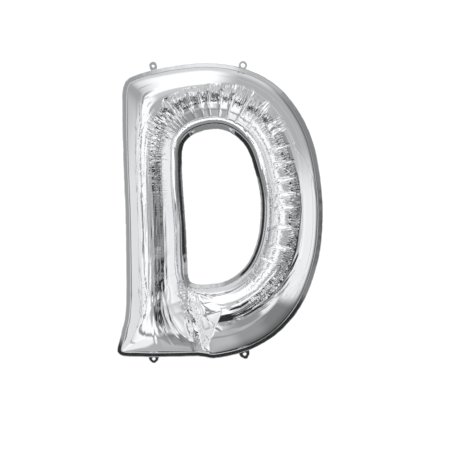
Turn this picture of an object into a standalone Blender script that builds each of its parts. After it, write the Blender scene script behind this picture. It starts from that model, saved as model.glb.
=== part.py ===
"""Letter foil balloon: a silver capital D, blown up, made of two film panels welded along both edges.

Metres, +Z up. The letter faces -Y and reads from there, with +X to its right. The origin is in the
counter, which is the hole of the letter, at the middle of the blown-up envelope.
"""

import math

import bmesh
import bpy
import numpy as np

MM = 0.001

# Each station is a line across the tube of the letter, clockwise from the top of the bowl:
# its point on the outer cut edge and its point on the counter's cut edge, as (x, z) in millimetres.
STATIONS = (
    ((-30, 412), (-19, 229)),
    ((69, 396), (19, 223)),
    ((153, 353), (53, 201)),
    ((214, 285), (78, 168)),
    ((258, 193), (97, 112)),
    ((281, 74), (111, 48)),
    ((285, -37), (112, -21)),
    ((272, -140), (103, -82)),
    ((232, -250), (82, -135)),
    ((170, -329), (53, -170)),
    ((90, -381), (12, -194)),
    ((-8, -407), (-36, -202)),
    ((-58, -402), (-67, -201)),
    ((-133, -403.5), (-83, -193)),
    ((-216, -403.5), (-89, -171)),
    ((-283, -395), (-90, -140)),
    ((-274, -337), (-92, -101)),
    ((-261, -262), (-94, -51)),
    ((-262, -37), (-98, 4)),
    ((-268, 129), (-103, 68)),
    ((-271, 268), (-105, 126)),
    ((-267, 350), (-104, 171)),
    ((-231, 380), (-93, 197)),
    ((-133, 403), (-65, 218)),
)
STEPS_PER_STATION = 4
STEPS_ACROSS = 10

SEAM_WIDTH = 11.0
SEAM_THICKNESS = 2.0
WALL = 10.0
GAP = 0.3
# Where the tube widens into a pocket, as at the foot, film that can't stretch stays under this depth.
DEEPEST = 110.0

# A hanging tab is a tongue with a round tip, standing on the seam's edge, with a hole for a ribbon:
# its foot's place along X, the height of its hole's middle above the foot and the hole's radius, the
# height of its tip's middle and the tip's radius, and half the foot's width.
TABS = {
    "hanging_tab_top_left": (-183.7, 10.6, 4.0, 12.5, 10.6, 8.0),
    "hanging_tab_top_right": (62.5, 7.9, 6.3, 8.0, 12.0, 10.5),
    "hanging_tab_bottom_left": (-184.2, 4.4, 3.8, 8.0, 9.0, 14.5),
    "hanging_tab_bottom_right": (67.4, 6.2, 3.8, 11.6, 9.0, 15.0),
}

NECK_X = -62.0
NECK_WIDTH = 28.0
NECK_HEIGHT = 8.4
NECK_WALL = 1.2
NECK_LENGTH = 60.0
NECK_BOTTOM_Z = -402.4
FILM_WIDTH = 16.0
FILM_THICKNESS = 0.8
FILM_LENGTH = 46.0
FILM_OVERHANG = 4.0

ARC_STEPS = 28


def clear_scene():
    for obj in list(bpy.data.objects):
        bpy.data.objects.remove(obj, do_unlink=True)


def new_collection(name):
    collection = bpy.data.collections.new(name)
    bpy.context.scene.collection.children.link(collection)
    return collection


def new_material(name, colour, metallic, roughness):
    material = bpy.data.materials.new(name)
    material.use_nodes = True
    shader = material.node_tree.nodes["Principled BSDF"]
    shader.inputs["Base Color"].default_value = (*colour, 1.0)
    shader.inputs["Metallic"].default_value = metallic
    shader.inputs["Roughness"].default_value = roughness
    return material


def place(obj, collection, material):
    collection.objects.link(obj)
    obj.data.materials.append(material)
    return obj


def closed_curve(corners, steps):
    """The closed Catmull-Rom curve through the corners, with this many steps from one to the next."""
    here = np.array(corners, float)[:, None, :]
    before, after, beyond = (np.roll(here, shift, axis=0) for shift in (1, -1, -2))
    t = (np.arange(steps) / steps)[None, :, None]
    linear = after - before
    square = 2 * before - 5 * here + 4 * after - beyond
    cubic = 3 * here - before - 3 * after + beyond
    return (here + 0.5 * (linear * t + square * t**2 + cubic * t**3)).reshape(-1, 2)


def moved_right(loop, distance):
    """The loop moved to the right of its direction of travel: inwards, since it runs clockwise."""
    travel = np.roll(loop, -1, axis=0) - np.roll(loop, 1, axis=0)
    travel /= np.linalg.norm(travel, axis=1, keepdims=True)
    return loop + distance * np.stack([travel[:, 1], -travel[:, 0]], axis=1)


def blown_depth(plan):
    """How far blown film stands off the seam plane over a grid of plan points, columns by rows.

    It is the square root of twice the solution of laplacian = -1, with none at the first and last
    row, where the panels are welded. Over a straight tube this is a half circle. DEEPEST then bends
    the depth of wide places down.
    """
    columns, rows = plan.shape[:2]
    index = np.arange(columns * rows).reshape(columns, rows)
    after = np.roll(index, -1, axis=0)
    quads = np.stack([index[:, :-1], after[:, :-1], after[:, 1:], index[:, 1:]], axis=-1)
    quads = quads.reshape(-1, 4)
    triangles = np.concatenate([quads[:, [0, 1, 2]], quads[:, [0, 2, 3]]])
    points = plan.reshape(-1, 2)
    stiffness = np.zeros((len(points), len(points)))
    load = np.zeros(len(points))
    for turn in range(3):
        tip, left, right = (triangles[:, (turn + k) % 3] for k in range(3))
        a, b = points[left] - points[tip], points[right] - points[tip]
        area = np.abs(a[:, 0] * b[:, 1] - a[:, 1] * b[:, 0]) / 2
        weight = (a * b).sum(axis=1) / (4 * area)
        for row, column, sign in ((left, left, 1), (right, right, 1), (left, right, -1), (right, left, -1)):
            np.add.at(stiffness, (row, column), sign * weight)
        np.add.at(load, tip, area / 3)
    inner = index[:, 1:-1].ravel()
    solution = np.zeros(len(points))
    solution[inner] = np.linalg.solve(stiffness[np.ix_(inner, inner)], load[inner])
    depth = np.sqrt(2 * solution.clip(0)).reshape(columns, rows)
    return depth / (1 + (depth / DEEPEST) ** 4) ** 0.25


def tube_plan(outer, counter):
    """Plan points across the tube, closer together at its edges, where the film stands steepest."""
    share = (1 - np.cos(np.linspace(0, math.pi, STEPS_ACROSS + 1))) / 2
    return outer[:, None, :] * (1 - share)[None, :, None] + counter[:, None, :] * share[None, :, None]


def panel_sections(outer, counter):
    """Closed section loops of a panel's wall, one a column, as (x, depth, z)."""
    plan = tube_plan(outer, counter)
    depth = blown_depth(plan)
    width = np.linalg.norm(counter - outer, axis=1)[:, None]
    inset = (counter - outer) / width * WALL
    inner_plan = tube_plan(outer + inset, counter - inset)
    crown = depth.max(axis=1, keepdims=True)
    inner_depth = depth * (1 - WALL / crown)
    outside = np.stack([plan[..., 0], depth, plan[..., 1]], axis=-1)
    inside = np.stack([inner_plan[..., 0], inner_depth, inner_plan[..., 1]], axis=-1)
    return np.concatenate([outside, inside[:, ::-1]], axis=1)


def panel(name, side, outer, counter):
    """Half of the envelope: side -1 is the front, which faces -Y, and +1 is the back."""
    sections = panel_sections(outer, counter)
    sections[..., 1] = side * (sections[..., 1] + GAP / 2)
    columns, rows = sections.shape[:2]
    index = np.arange(columns * rows).reshape(columns, rows)
    after, above = np.roll(index, -1, axis=0), np.roll(index, -1, axis=1)
    both = np.roll(after, -1, axis=1)
    corners = (index, above, both, after) if side < 0 else (index, after, both, above)
    faces = np.stack(corners, axis=-1).reshape(-1, 4)
    mesh = bpy.data.meshes.new(name)
    mesh.from_pydata((sections.reshape(-1, 3) * MM).tolist(), [], faces.tolist())
    mesh.shade_smooth()
    mesh.set_sharp_from_angle(angle=math.radians(50))
    return bpy.data.objects.new(name, mesh)


def flat_piece(name, loops, thickness):
    """A flat sheet in the XZ plane between an outline and its holes, given as loops of (x, z)."""
    curve = bpy.data.curves.new(name, "CURVE")
    curve.dimensions = "2D"
    curve.fill_mode = "BOTH"
    curve.extrude = thickness / 2 * MM
    for loop in loops:
        spline = curve.splines.new("POLY")
        spline.points.add(len(loop) - 1)
        for point, (x, z) in zip(spline.points, loop):
            point.co = (x * MM, z * MM, 0.0, 1.0)
        spline.use_cyclic_u = True
    obj = bpy.data.objects.new(name, curve)
    obj.rotation_euler = (math.pi / 2, 0.0, 0.0)
    return obj


def arc(centre, radius, start, stop, steps):
    angles = np.linspace(start, stop, steps + 1)
    return np.array(centre) + radius * np.stack([np.cos(angles), np.sin(angles)], axis=1)


def stadium(width, height):
    """A flattened round: two half circles joined by straight runs, about its own centre."""
    run = (width - height) / 2
    right = arc((run, 0.0), height / 2, -math.pi / 2, math.pi / 2, ARC_STEPS // 4)
    left = arc((-run, 0.0), height / 2, math.pi / 2, 3 * math.pi / 2, ARC_STEPS // 4)
    return np.concatenate([right, left])


def edge_place(outline, x, top):
    """The point of the outer cut edge at this x, above or below, and how far outwards is turned from +Z."""
    after = np.roll(outline, -1, axis=0)
    crosses = (outline[:, 0] - x) * (after[:, 0] - x) <= 0
    side = (outline[:, 1] > 0) == top
    first = int(np.flatnonzero(crosses & side)[0])
    start, end = outline[first], after[first]
    share = (x - start[0]) / (end[0] - start[0])
    travel = end - start
    return start + share * travel, math.atan2(-travel[1], travel[0])


def hanging_tab(name, outline):
    """A tongue with a round tip and a hole, standing on the seam's edge and lying in the seam plane.

    Its sides run straight from the ends of its foot to where they touch the tip's circle.
    """
    x, hole_height, hole_radius, tip_height, tip_radius, half_foot = TABS[name]
    foot, turn = edge_place(outline, x, top="top" in name)
    away = math.hypot(half_foot, tip_height - GAP)
    touch = math.acos(tip_radius / away) - math.atan2(tip_height - GAP, half_foot)
    tip = arc((0.0, tip_height), tip_radius, touch, math.pi - touch, ARC_STEPS)
    rim = np.concatenate([[(half_foot, GAP)], tip, [(-half_foot, GAP)]])
    hole = arc((0.0, hole_height), hole_radius, 0.0, 2 * math.pi, ARC_STEPS)[:-1]
    obj = flat_piece(name, (rim, hole), SEAM_THICKNESS)
    obj.location = (foot[0] * MM, 0.0, foot[1] * MM)
    obj.rotation_euler.y = turn
    return obj


def filling_neck():
    """The flat sleeve that the balloon is blown up through, folded back behind the lower seam."""
    outside = stadium(NECK_WIDTH, NECK_HEIGHT)
    bore = stadium(NECK_WIDTH - 2 * NECK_WALL, NECK_HEIGHT - 2 * NECK_WALL)
    obj = flat_piece("filling_neck", (outside, bore), NECK_LENGTH)
    y = SEAM_THICKNESS / 2 + GAP + NECK_LENGTH / 2
    obj.location = (NECK_X * MM, y * MM, (NECK_BOTTOM_Z + NECK_HEIGHT / 2) * MM)
    return obj


def valve_film():
    """The flat film tongue of the self-closing valve, which shows in the neck's mouth."""
    mesh = bpy.data.meshes.new("valve_film")
    obj = bpy.data.objects.new("valve_film", mesh)
    bottom = NECK_BOTTOM_Z + NECK_WALL + GAP
    mouth = SEAM_THICKNESS / 2 + GAP + NECK_LENGTH
    low = np.array((NECK_X - FILM_WIDTH / 2, mouth + FILM_OVERHANG - FILM_LENGTH, bottom))
    high = np.array((NECK_X + FILM_WIDTH / 2, mouth + FILM_OVERHANG, bottom + FILM_THICKNESS))
    box = bmesh.new()
    bmesh.ops.create_cube(box, size=1.0)
    bmesh.ops.scale(box, vec=(high - low) * MM, verts=box.verts)
    box.to_mesh(mesh)
    box.free()
    obj.location = (low + high) / 2 * MM
    return obj


def main():
    clear_scene()
    collection = new_collection("letter_foil_balloon")
    film = new_material("metallised_film", (0.80, 0.81, 0.82), 1.0, 0.10)
    weld = new_material("welded_film_edge", (0.70, 0.71, 0.72), 1.0, 0.24)
    clear = new_material("clear_valve_film", (0.86, 0.87, 0.88), 0.0, 0.30)

    outline = closed_curve([outer for outer, _ in STATIONS], STEPS_PER_STATION)
    counter = closed_curve([inner for _, inner in STATIONS], STEPS_PER_STATION)
    outer_edge = moved_right(outline, SEAM_WIDTH)
    counter_edge = moved_right(counter, -SEAM_WIDTH)

    place(panel("front_panel", -1, outer_edge, counter_edge), collection, film)
    place(panel("back_panel", 1, outer_edge, counter_edge), collection, film)
    outer_loops = (outline, moved_right(outer_edge, -GAP))
    counter_loops = (moved_right(counter_edge, GAP), counter)
    place(flat_piece("outer_seam", outer_loops, SEAM_THICKNESS), collection, weld)
    place(flat_piece("counter_seam", counter_loops, SEAM_THICKNESS), collection, weld)
    for name in TABS:
        place(hanging_tab(name, outline), collection, weld)
    place(filling_neck(), collection, film)
    place(valve_film(), collection, clear)


main()
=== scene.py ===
"""Looks of the letter foil balloon: wrinkled metallised film, puckered welds, tabs, neck and studio."""

from __future__ import annotations

import logging
import math
from dataclasses import dataclass, field
from enum import Enum
from typing import Any

import bpy
import numpy as np
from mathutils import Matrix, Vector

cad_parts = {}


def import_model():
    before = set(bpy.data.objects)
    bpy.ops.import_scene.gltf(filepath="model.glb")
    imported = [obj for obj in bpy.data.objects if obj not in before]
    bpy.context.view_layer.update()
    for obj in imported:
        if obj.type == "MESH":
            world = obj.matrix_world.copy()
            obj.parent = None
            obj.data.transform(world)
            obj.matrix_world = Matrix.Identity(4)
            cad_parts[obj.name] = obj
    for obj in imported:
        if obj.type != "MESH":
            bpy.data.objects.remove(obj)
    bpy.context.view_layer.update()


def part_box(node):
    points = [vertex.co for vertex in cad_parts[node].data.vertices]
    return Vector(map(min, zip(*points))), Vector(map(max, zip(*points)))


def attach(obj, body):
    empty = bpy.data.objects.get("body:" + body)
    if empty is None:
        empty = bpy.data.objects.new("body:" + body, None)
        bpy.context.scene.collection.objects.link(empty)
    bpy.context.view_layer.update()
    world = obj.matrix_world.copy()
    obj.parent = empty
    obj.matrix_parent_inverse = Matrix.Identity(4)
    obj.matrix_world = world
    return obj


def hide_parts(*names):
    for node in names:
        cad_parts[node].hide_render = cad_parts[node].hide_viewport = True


LOG = logging.getLogger("letter_foil_balloon")
MM = 0.001
Array = np.ndarray


def hex_to_linear(code: str) -> tuple[float, float, float, float]:
    """Turn an sRGB hex colour into linear light.

    Args:
        code: Six hex digits, with or without a leading hash.

    Returns:
        Linear red, green, blue and an alpha of one.
    """
    parts = [int(code.lstrip("#")[i : i + 2], 16) / 255 for i in (0, 2, 4)]
    linear = [c / 12.92 if c <= 0.04045 else ((c + 0.055) / 1.055) ** 2.4 for c in parts]
    return (linear[0], linear[1], linear[2], 1.0)


def smooth_step(low: float, high: float, value: Array) -> Array:
    """Rise from 0 at low to 1 at high as 3t^2 - 2t^3, and stay there."""
    t = np.clip((value - low) / (high - low), 0.0, 1.0)
    return t * t * (3 - 2 * t)


def band(low: float, high: float, soft: float, value: Array) -> Array:
    """One between low and high, falling to zero over soft on either side."""
    return smooth_step(low - soft, low, value) * (1 - smooth_step(high, high + soft, value))


def corner_values(along: Array, across: Array, cells: int, seed: int) -> tuple[Array, ...]:
    """Look up the random numbers at the four corners of each point's cell.

    Args:
        along: Position along the film in cells, which closes on itself after cells.
        across: Position across the film in cells, zero or more.
        cells: Number of cells round the loop.
        seed: Seed of the random lattice.

    Returns:
        The four corner values and the point's two fractions inside its cell.
    """
    rows = int(np.max(across)) + 3
    lattice = np.random.default_rng(seed).uniform(-1, 1, (cells, rows))
    i, j = np.floor(along).astype(int), np.floor(across).astype(int)
    near, far = i % cells, (i + 1) % cells
    corners = lattice[near, j], lattice[far, j], lattice[near, j + 1], lattice[far, j + 1]
    return (*corners, along - i, across - j)


def soft_noise(along: Array, across: Array, cells: int, seed: int) -> Array:
    """Smooth noise from -1 to 1: corner values blended by 3t^2 - 2t^3 both ways."""
    v00, v10, v01, v11, x, y = corner_values(along, across, cells, seed)
    x, y = x * x * (3 - 2 * x), y * y * (3 - 2 * y)
    return (v00 * (1 - x) + v10 * x) * (1 - y) + (v01 * (1 - x) + v11 * x) * y


def creased_noise(along: Array, across: Array, cells: int, seed: int) -> Array:
    """Noise of flat facets with sharp creases: each cell is two triangles, filled in linearly."""
    v00, v10, v01, v11, x, y = corner_values(along, across, cells, seed)
    lower = v00 + x * (v10 - v00) + y * (v01 - v00)
    upper = v11 + (1 - x) * (v01 - v11) + (1 - y) * (v10 - v11)
    return np.where(x + y < 1, lower, upper)


def cushions(along: Array, across: Array, cells: int, seed: int) -> Array:
    """Rounded cushions with sharp valleys between them, from 0 in a valley towards 1 on top.

    Each cell holds one random point. The valley distance d is the distance to the second nearest
    point less that to the nearest, and the height is d / (d + 0.3), scaled to reach 1 at d = 1.

    Args:
        along: Position along the film in cells, which closes on itself after cells.
        across: Position across the film in cells, zero or more.
        cells: Number of cells round the loop.
        seed: Seed of the random points.

    Returns:
        Heights from 0 to about 1.
    """
    rows = int(np.max(across)) + 3
    points = np.random.default_rng(seed).uniform(0.1, 0.9, (cells, rows, 2))
    i, j = np.floor(along).astype(int), np.floor(across).astype(int)
    x, y = along - i, across - j
    nearest = np.full(along.shape, 9.0)
    second = nearest.copy()
    for di in (-1, 0, 1):
        for dj in (-1, 0, 1):
            point = points[(i + di) % cells, j + dj + 1]
            away = np.hypot(di + point[..., 0] - x, dj + point[..., 1] - y)
            second = np.minimum(second, np.maximum(nearest, away))
            nearest = np.minimum(nearest, away)
    valley = second - nearest
    return 1.3 * valley / (valley + 0.3)


def blurred_loop(values: Array, sigma: float) -> Array:
    """Blur along the first axis, which is a closed loop, by a Gaussian of sigma samples."""
    waves = np.fft.rfftfreq(len(values)) * 2 * math.pi
    keep = np.exp(-0.5 * (waves * sigma) ** 2).reshape(-1, *[1] * (values.ndim - 1))
    return np.fft.irfft(np.fft.rfft(values, axis=0) * keep, n=len(values), axis=0)


def travel_of(loop: Array) -> Array:
    """Unit direction of travel at each point of a closed loop of (x, z) points."""
    step = np.roll(loop, -1, axis=0) - np.roll(loop, 1, axis=0)
    return step / np.linalg.norm(step, axis=1, keepdims=True)


def moved_right(loop: Array, distance: float | Array) -> Array:
    """The loop moved to the right of its travel, which is inwards since it runs clockwise."""
    travel = travel_of(loop)
    return loop + np.stack([travel[:, 1], -travel[:, 0]], axis=1) * np.reshape(distance, (-1, 1))


def normals_of(points: Array, closed_rows: bool = False) -> Array:
    """Unit normals of a grid that is closed along its columns: column step cross row step."""
    along = np.roll(points, -1, axis=0) - np.roll(points, 1, axis=0)
    if closed_rows:
        across = np.roll(points, -1, axis=1) - np.roll(points, 1, axis=1)
    else:
        across = np.gradient(points, axis=1)
    normal = np.cross(along, across)
    return normal / np.maximum(np.linalg.norm(normal, axis=-1, keepdims=True), 1e-12)


def put_mesh(name: str, points: Array, quads: Array) -> bpy.types.Object:
    """Make a smooth-shaded mesh object at the origin from whole arrays.

    Args:
        name: Name of the piece.
        points: Points in metres, one a row.
        quads: Four point numbers a face, turning left as seen from outside.

    Returns:
        The new object, linked to the scene.
    """
    mesh = bpy.data.meshes.new(name)
    mesh.vertices.add(len(points))
    mesh.vertices.foreach_set("co", np.ascontiguousarray(points, np.float32).ravel())
    mesh.loops.add(quads.size)
    mesh.loops.foreach_set("vertex_index", np.ascontiguousarray(quads, np.int32).ravel())
    mesh.polygons.add(len(quads))
    mesh.polygons.foreach_set("loop_start", np.arange(0, quads.size, 4, dtype=np.int32))
    mesh.update(calc_edges=True)
    mesh.validate()
    mesh.shade_smooth()
    obj = bpy.data.objects.new(name, mesh)
    bpy.context.scene.collection.objects.link(obj)
    return obj


def grid_quads(columns: int, rows: int, closed_rows: bool, flip: bool) -> Array:
    """Faces of a grid closed along its columns, turned over if flip is set."""
    index = np.arange(columns * rows).reshape(columns, rows)
    after = np.roll(index, -1, axis=0)
    above, both = np.roll(index, -1, axis=1), np.roll(after, -1, axis=1)
    order = (index, above, both, after) if flip else (index, after, both, above)
    quads = np.stack(order, axis=-1)
    return (quads if closed_rows else quads[:, :-1]).reshape(-1, 4)


def thicken(obj: bpy.types.Object, thickness: float) -> None:
    """Give an open sheet its wall, half to each side, with closed edges."""
    wall = obj.modifiers.new("film_thickness", "SOLIDIFY")
    wall.thickness = thickness
    wall.offset = 0.0


class Side(Enum):
    """Which half of the envelope a panel is, with the sign of its Y."""

    FRONT = -1
    BACK = 1


@dataclass
class LetterForm:
    """The letter's two cut edges and the blown form between them, all in metres.

    Each station is a line across the tube, clockwise from the top of the bowl: its point on the
    outer cut edge and its point on the counter's cut edge, as (x, z) in millimetres.
    """

    stations: tuple[tuple[tuple[float, float], tuple[float, float]], ...] = (
        ((-30, 412), (-19, 229)),
        ((69, 396), (19, 223)),
        ((153, 353), (53, 201)),
        ((214, 285), (78, 168)),
        ((258, 193), (97, 112)),
        ((281, 74), (111, 48)),
        ((285, -37), (112, -21)),
        ((272, -140), (103, -82)),
        ((232, -250), (82, -135)),
        ((170, -329), (53, -170)),
        ((90, -381), (12, -194)),
        ((-8, -407), (-36, -202)),
        ((-58, -402), (-67, -201)),
        ((-133, -403.5), (-83, -193)),
        ((-216, -403.5), (-89, -171)),
        ((-283, -395), (-90, -140)),
        ((-274, -337), (-92, -101)),
        ((-261, -262), (-94, -51)),
        ((-262, -37), (-98, 4)),
        ((-268, 129), (-103, 68)),
        ((-271, 268), (-105, 126)),
        ((-267, 350), (-104, 171)),
        ((-231, 380), (-93, 197)),
        ((-133, 403), (-65, 218)),
    )
    seam_width: float = 11.0 * MM
    deepest: float = 110.0 * MM
    columns: int = 960
    rows: int = 103
    coarse_columns: int = 160
    coarse_rows: int = 17
    corner_blur: float = 6.0 * MM
    tube_radius: float = 76.0 * MM
    gather_offset: float = 45.0 * MM
    outline: Array = field(init=False)
    counter: Array = field(init=False)
    station: Array = field(init=False)
    length: float = field(init=False)
    plan: Array = field(init=False)
    depth: Array = field(init=False)
    beside: Array = field(init=False)
    from_counter: Array = field(init=False)
    beside_length: float = field(init=False)

    def __post_init__(self) -> None:
        """Work out the edges, the plan grid and the depth once, for every piece to share."""
        self.outline, self.counter, self.station, self.length = self.even_edges()
        outer = moved_right(self.outline, self.seam_width)
        inner = moved_right(self.counter, -self.seam_width)
        self.plan = self.plan_between(outer, inner, self.rows)
        self.depth = self.blown_depth(outer, inner) * (1 - self.junction_dip())
        self.beside, self.from_counter, self.beside_length = self.gather_places(inner)

    def gather_places(self, weld: Array) -> tuple[Array, Array, float]:
        """Where each plan point lies beside the counter, which gathered film follows.

        A line square to the counter's weld runs through every point, because the counter is convex,
        and such lines fan out at its corners. The place along is measured where the line crosses a
        curve at gather_offset from the weld. The place across is the film's length from the weld,
        over a round tube: radius times the angle whose cosine is 1 - distance / radius.

        Args:
            weld: The counter weld's side of the tube, one point a column.

        Returns:
            Metres along, metres across, and the whole way round.
        """
        base = moved_right(weld, -self.gather_offset)
        steps = np.linalg.norm(np.roll(base, -1, axis=0) - base, axis=1)
        travelled = np.concatenate([[0.0], np.cumsum(steps)])
        flat = self.plan.reshape(-1, 2)
        best = np.empty(len(flat), int)
        for part in np.array_split(np.arange(len(flat)), 40):
            away = ((flat[part, None] - weld[None]) ** 2).sum(axis=-1)
            best[part] = away.argmin(axis=1)
        following, tangent = np.roll(weld, -1, axis=0) - weld, travel_of(weld)
        slip = ((flat - weld[best]) * tangent[best]).sum(axis=1)
        reach = np.abs(((flat - weld[best]) * tangent[best][:, ::-1] * (-1, 1)).sum(axis=1))
        turned = np.cross(tangent, np.roll(tangent, -1, axis=0)) / np.linalg.norm(following, axis=1)
        stretch = steps / np.linalg.norm(following, axis=1)
        place = travelled[best] + slip * stretch[best] / (1 + np.abs(turned[best]) * reach)
        angle = np.arccos(np.clip(1 - reach / self.tube_radius, -1, 1))
        across = self.tube_radius * angle
        shape = self.plan.shape[:2]
        return place.reshape(shape), across.reshape(shape), float(travelled[-1])

    def even_edges(self) -> tuple[Array, Array, Array, float]:
        """Pass Catmull-Rom curves through the stations and space the columns evenly on them.

        Even means by the mean of the two edges' lengths. A small blur then takes out the jumps in
        curvature that a mirror surface would show.

        Returns:
            The outer edge, the counter's edge, the station number of each column and the length.
        """
        steps = 200
        here = np.array(self.stations, float)[:, None] * MM
        before, after, beyond = (np.roll(here, shift, axis=0) for shift in (1, -1, -2))
        t = (np.arange(steps) / steps)[None, :, None, None]
        square = 2 * before - 5 * here + 4 * after - beyond
        cubic = 3 * here - before - 3 * after + beyond
        edges = (here + 0.5 * ((after - before) * t + square * t**2 + cubic * t**3)).reshape(-1, 2, 2)
        step = np.linalg.norm(np.roll(edges, -1, axis=0) - edges, axis=-1).mean(axis=1)
        travelled = np.concatenate([[0.0], np.cumsum(step)])
        wanted = np.arange(self.columns) / self.columns * travelled[-1]
        number = np.arange(len(edges) + 1)
        place = np.interp(wanted, travelled, number)
        closed = np.concatenate([edges, edges[:1]]).reshape(-1, 4)
        even = np.stack([np.interp(place, number, closed[:, k]) for k in range(4)], axis=1)
        even = blurred_loop(even, self.corner_blur / (travelled[-1] / self.columns))
        return even[:, :2], even[:, 2:], place / steps, float(travelled[-1])

    @staticmethod
    def plan_between(outer: Array, inner: Array, rows: int) -> Array:
        """Plan points across the tube at share (1 - cos a) / 2, with a even from 0 to pi."""
        share = (1 - np.cos(np.linspace(0, math.pi, rows)))[None, :, None] / 2
        return outer[:, None] * (1 - share) + inner[:, None] * share

    def blown_depth(self, outer: Array, inner: Array) -> Array:
        """How far the blown film stands off the seam plane, on the fine grid.

        Blown film rises as the square root of twice the solution of laplacian = -1: a half circle
        over a straight tube. It is solved on a coarse grid, divided by its square-root rise at the
        edges, and the smooth rest is made fine by adding zero waves to its Fourier transform.

        Args:
            outer: Inner side of the outer weld, one point a column.
            inner: The counter weld's side of the tube, one point a column.

        Returns:
            The depth in metres, columns by rows.
        """
        stride = self.columns // self.coarse_columns
        plan = self.plan_between(outer[::stride], inner[::stride], self.coarse_rows)
        depth = np.sqrt(2 * self.pressed_film(plan).clip(0))
        angle = np.linspace(0, math.pi, self.coarse_rows)
        rest = depth / np.maximum(np.sin(angle), 1e-9)
        rest[:, 0] = 3 * rest[:, 1] - 3 * rest[:, 2] + rest[:, 3]
        rest[:, -1] = 3 * rest[:, -2] - 3 * rest[:, -3] + rest[:, -4]
        fine = self.refined(blurred_loop(rest, 1.6)) * np.sin(np.linspace(0, math.pi, self.rows))
        return fine / (1 + (fine / self.deepest) ** 4) ** 0.25

    def refined(self, rest: Array) -> Array:
        """Fourier-refine a coarse field, even across the tube and closed along it."""
        even = np.concatenate([rest, rest[:, -2:0:-1]], axis=1)
        waves = np.fft.fftshift(np.fft.fft2(even))
        tall, wide = self.columns - len(even), 2 * (self.rows - 1) - even.shape[1]
        padded = np.pad(waves, ((tall // 2, tall - tall // 2), (wide // 2, wide - wide // 2)))
        scale = padded.size / waves.size
        return np.fft.ifft2(np.fft.ifftshift(padded)).real[:, : self.rows] * scale

    def junction_dip(self) -> Array:
        """Share of the depth that is missing where the stem's and the bowl's tubes meet.

        The film is drawn in along a line from the counter's lower left corner to the notch. From
        there it rises steadily to the stem's crown on the left, and more steeply on the right, over
        a strip that narrows towards the notch.
        """
        start, end = np.array([-97.0, -212.0]) * MM, np.array([-48.0, -400.0]) * MM
        step = end - start
        away = self.plan - start
        t = away @ step / (step @ step)
        right = (away[..., 1] * step[0] - away[..., 0] * step[1]) / np.linalg.norm(step)
        reach = np.interp(t, (0.0, 0.2, 0.44, 0.68, 0.83, 1.0), (62, 70, 66, 32, 10, 8)) * MM
        left_reach = np.interp(t, (0.0, 0.3, 1.0), (92, 96, 100)) * MM
        rise = np.where(right < 0, (-right - 4 * MM) / left_reach, (right - 6 * MM) / (reach + 10 * MM))
        ramp = 1 - np.clip(rise, 0, 1)
        ramp = ramp ** np.where(right < 0, 1.15, np.interp(t, (0.28, 0.42), (1.9, 1.0)))
        share = np.interp(t, (-0.5, -0.2, 0.0, 0.15, 0.3, 0.7, 0.85, 1.0), (0, 0.1, 0.3, 0.42, 0.45, 0.45, 0.4, 0.28))
        return ramp * share

    @staticmethod
    def pressed_film(plan: Array) -> Array:
        """Solve laplacian = -1 on a plan grid, with zero on its first and last row.

        The stiffness of each triangle's edge is half the cotangent of the angle facing it.
        """
        columns, rows = plan.shape[:2]
        quads = grid_quads(columns, rows, closed_rows=False, flip=False)
        triangles = np.concatenate([quads[:, [0, 1, 2]], quads[:, [0, 2, 3]]])
        points = plan.reshape(-1, 2)
        stiffness = np.zeros((len(points), len(points)))
        load = np.zeros(len(points))
        for turn in range(3):
            tip, left, right = (triangles[:, (turn + k) % 3] for k in range(3))
            a, b = points[left] - points[tip], points[right] - points[tip]
            area = np.abs(a[:, 0] * b[:, 1] - a[:, 1] * b[:, 0]) / 2
            weight = (a * b).sum(axis=1) / (4 * area)
            for row, column, sign in ((left, left, 1), (right, right, 1), (left, right, -1), (right, left, -1)):
                np.add.at(stiffness, (row, column), sign * weight)
            np.add.at(load, tip, area / 3)
        inside = np.arange(len(points)).reshape(columns, rows)[:, 1:-1].ravel()
        solution = np.zeros(len(points))
        solution[inside] = np.linalg.solve(stiffness[np.ix_(inside, inside)], load[inside])
        return solution.reshape(columns, rows)


@dataclass(frozen=True)
class Fold:
    """One fold of the film: a narrow strip that leans, eased back to the film on both sides.

    The path is (x, z) in millimetres on the seam plane. A positive tilt, in degrees, makes the strip
    face to the left of its path as seen from the front.
    """

    path: tuple[tuple[float, float], ...]
    half_width: float
    tilt: float
    ease: float = 1.6

    def height(self, plan: Array, wander: Array) -> Array:
        """Heights over the plan points.

        With u the distance to the right of the path in half widths, the height rises as u over the
        strip and then eases back to nothing in straight flanks. It fades out over the path's ends.

        Args:
            plan: Points (x, z) in metres.
            wander: How far the strip strays sideways at each point, in metres.

        Returns:
            Heights in metres.
        """
        corners = np.array(self.path) * MM
        lengths = np.linalg.norm(np.diff(corners, axis=0), axis=1)
        travelled = np.concatenate([[0.0], np.cumsum(lengths)]) / lengths.sum()
        nearest = np.full(plan.shape[:2], np.inf)
        right, share = np.zeros_like(nearest), np.zeros_like(nearest)
        for start, end, first, last in zip(corners, corners[1:], travelled, travelled[1:]):
            step = end - start
            t = np.clip((plan - start) @ step / (step @ step), 0, 1)
            away = plan - (start + t[..., None] * step)
            distance = np.linalg.norm(away, axis=-1)
            closer = distance < nearest
            beside = (away[..., 0] * step[1] - away[..., 1] * step[0]) / np.linalg.norm(step)
            right, share = np.where(closer, beside, right), np.where(closer, first + t * (last - first), share)
            nearest = np.minimum(nearest, distance)
        u = (right + wander) / (self.half_width * MM)
        flank = np.sign(u) * np.maximum(1 - (np.abs(u) - 1) / self.ease, 0)
        profile = np.where(np.abs(u) < 1, u, flank)
        faded = smooth_step(0.0, 0.16, share) * (1 - smooth_step(0.84, 1.0, share))
        return math.tan(math.radians(self.tilt)) * self.half_width * MM * profile * faded


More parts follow.
